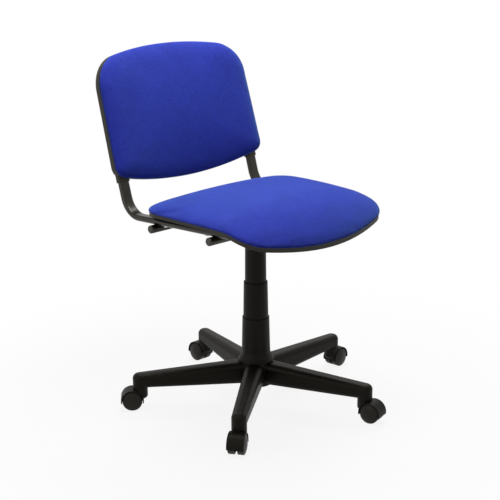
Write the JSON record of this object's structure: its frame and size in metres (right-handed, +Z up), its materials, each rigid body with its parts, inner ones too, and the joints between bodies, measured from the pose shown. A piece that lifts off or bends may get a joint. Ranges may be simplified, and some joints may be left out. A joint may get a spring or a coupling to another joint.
{
  "type": "swivel office chair",
  "caption": "Swivel office chair on a star base with castors, with a gas lift in a telescopic cover, a bent tube frame, a padded seat and a curved padded back.",
  "frame": {"origin": "on the column axis at floor level, under the wheels", "axes": "+Z up along the column, the sitter faces -Y, +X is the sitter's left"},
  "size_m": [0.6503, 0.6983, 0.8808],
  "materials": {
    "nylon_black": "fine grained black nylon",
    "cover_black": "smooth black polypropylene",
    "shell_black": "textured black polypropylene",
    "wheel_black": "smooth black nylon",
    "frame_black": "satin black powder coat",
    "column_steel": "black lacquered steel",
    "zinc_steel": "zinc plated",
    "rod_chrome": "ground and plated",
    "bush_acetal": "white acetal",
    "buffer_rubber": "black rubber",
    "plywood": "birch plywood",
    "cushion_foam": "cut polyurethane foam",
    "fabric_blue": "woven royal blue upholstery"
  },
  "bodies": {
    "base": {"base_star": "nylon_black", "castor_sockets": "zinc_steel", "hub_sleeve": "zinc_steel", "column_tube": "column_steel", "column_bush": "bush_acetal", "column_cover_bottom": "cover_black", "bearing_lower_race": "zinc_steel", "bearing_balls": "zinc_steel"},
    "rod": {"bearing_upper_race": "zinc_steel", "piston_rod": "rod_chrome", "rod_piston": "bush_acetal", "rod_clip": "zinc_steel", "rubber_buffer": "buffer_rubber"},
    "cover_middle": {"column_cover_middle": "cover_black"},
    "seat": {"gas_cylinder": "column_steel", "cylinder_seal": "buffer_rubber", "column_cover_top": "cover_black", "mounting_plate": "frame_black", "cone_socket": "frame_black", "plate_bolts": "zinc_steel", "lever_bracket": "frame_black", "side_tube_left": "frame_black", "side_tube_right": "frame_black", "side_tube_plugs": "shell_black", "cross_tube_front": "frame_black", "cross_tube_rear": "frame_black", "cross_tube_plugs": "shell_black", "seat_shell": "shell_black", "seat_board": "plywood", "seat_foam": "cushion_foam", "seat_cover": "fabric_blue", "seat_screws": "zinc_steel", "back_shell": "shell_black", "back_board": "shell_black", "back_foam": "cushion_foam", "back_cover": "fabric_blue", "back_screws": "zinc_steel"},
    "valve_pin": {"release_pin": "zinc_steel"},
    "lever": {"release_lever": "zinc_steel", "lever_grip": "shell_black"},
    "castor_1": {"castor_1_hood": "nylon_black", "castor_1_pins": "zinc_steel"},
    "wheel_1_left": {"castor_1_wheel_left": "wheel_black"},
    "wheel_1_right": {"castor_1_wheel_right": "wheel_black"},
    "castor_2": {"castor_2_hood": "nylon_black", "castor_2_pins": "zinc_steel"},
    "wheel_2_left": {"castor_2_wheel_left": "wheel_black"},
    "wheel_2_right": {"castor_2_wheel_right": "wheel_black"},
    "castor_3": {"castor_3_hood": "nylon_black", "castor_3_pins": "zinc_steel"},
    "wheel_3_left": {"castor_3_wheel_left": "wheel_black"},
    "wheel_3_right": {"castor_3_wheel_right": "wheel_black"},
    "castor_4": {"castor_4_hood": "nylon_black", "castor_4_pins": "zinc_steel"},
    "wheel_4_left": {"castor_4_wheel_left": "wheel_black"},
    "wheel_4_right": {"castor_4_wheel_right": "wheel_black"},
    "castor_5": {"castor_5_hood": "nylon_black", "castor_5_pins": "zinc_steel"},
    "wheel_5_left": {"castor_5_wheel_left": "wheel_black"},
    "wheel_5_right": {"castor_5_wheel_right": "wheel_black"}
  },
  "joints": [
    {"name": "seat_swivel", "type": "hinge", "parent": "base", "child": "rod", "pos_m": [0, 0, 0.061], "axis": [0, 0, 1], "continuous": true},
    {"name": "seat_lift", "type": "slide", "parent": "rod", "child": "seat", "axis": [0, 0, 1], "range_m": [-0.11, 0.01]},
    {"name": "cover_follow", "type": "slide", "parent": "base", "child": "cover_middle", "axis": [0, 0, 1], "range_m": [-0.0552, 0.0052]},
    {"name": "lever_pivot", "type": "hinge", "parent": "seat", "child": "lever", "pos_m": [0.04, 0, 0.4903], "axis": [0, -1, 0], "range_deg": [0, 3.6], "stiffness_Nm_per_rad": 1.5, "springref_deg": -6.88},
    {"name": "pin_press", "type": "slide", "parent": "seat", "child": "valve_pin", "axis": [0, 0, -1], "range_m": [0, 0.0027]},
    {"name": "castor_1_swivel", "type": "hinge", "parent": "base", "child": "castor_1", "pos_m": [0.29704, 0.01661, 0.058], "axis": [0, 0, 1], "continuous": true},
    {"name": "wheel_1_left_roll", "type": "hinge", "parent": "castor_1", "child": "wheel_1_left", "pos_m": [0.31788, 0.01917, 0.025], "axis": [-0.1219, 0.9925, 0], "continuous": true},
    {"name": "wheel_1_right_roll", "type": "hinge", "parent": "castor_1", "child": "wheel_1_right", "pos_m": [0.31788, 0.01917, 0.025], "axis": [-0.1219, 0.9925, 0], "continuous": true},
    {"name": "castor_2_swivel", "type": "hinge", "parent": "base", "child": "castor_2", "pos_m": [0.07599, 0.28763, 0.058], "axis": [0, 0, 1], "continuous": true},
    {"name": "wheel_2_left_roll", "type": "hinge", "parent": "castor_2", "child": "wheel_2_left", "pos_m": [0.07599, 0.30863, 0.025], "axis": [-1, 0, 0], "continuous": true},
    {"name": "wheel_2_right_roll", "type": "hinge", "parent": "castor_2", "child": "wheel_2_right", "pos_m": [0.07599, 0.30863, 0.025], "axis": [-1, 0, 0], "continuous": true},
    {"name": "castor_3_swivel", "type": "hinge", "parent": "base", "child": "castor_3", "pos_m": [-0.25007, 0.16116, 0.058], "axis": [0, 0, 1], "continuous": true},
    {"name": "wheel_3_left_roll", "type": "hinge", "parent": "castor_3", "child": "wheel_3_left", "pos_m": [-0.26662, 0.17409, 0.025], "axis": [-0.6157, -0.788, 0], "continuous": true},
    {"name": "wheel_3_right_roll", "type": "hinge", "parent": "castor_3", "child": "wheel_3_right", "pos_m": [-0.26662, 0.17409, 0.025], "axis": [-0.6157, -0.788, 0], "continuous": true},
    {"name": "castor_4_swivel", "type": "hinge", "parent": "base", "child": "castor_4", "pos_m": [-0.23055, -0.18803, 0.058], "axis": [0, 0, 1], "continuous": true},
    {"name": "wheel_4_left_roll", "type": "hinge", "parent": "castor_4", "child": "wheel_4_left", "pos_m": [-0.24775, -0.20007, 0.025], "axis": [0.5736, -0.8192, 0], "continuous": true},
    {"name": "wheel_4_right_roll", "type": "hinge", "parent": "castor_4", "child": "wheel_4_right", "pos_m": [-0.24775, -0.20007, 0.025], "axis": [0.5736, -0.8192, 0], "continuous": true},
    {"name": "castor_5_swivel", "type": "hinge", "parent": "base", "child": "castor_5", "pos_m": [0.10758, -0.27737, 0.058], "axis": [0, 0, 1], "continuous": true},
    {"name": "wheel_5_left_roll", "type": "hinge", "parent": "castor_5", "child": "wheel_5_left", "pos_m": [0.11266, -0.29774, 0.025], "axis": [0.9703, 0.2419, 0], "continuous": true},
    {"name": "wheel_5_right_roll", "type": "hinge", "parent": "castor_5", "child": "wheel_5_right", "pos_m": [0.11266, -0.29774, 0.025], "axis": [0.9703, 0.2419, 0], "continuous": true}
  ],
  "couplings": [
    {"joint": "cover_follow", "follows": "seat_lift", "ratio": 0.5},
    {"joint": "pin_press", "follows": "lever_pivot", "m_per_rad": 0.042}
  ]
}
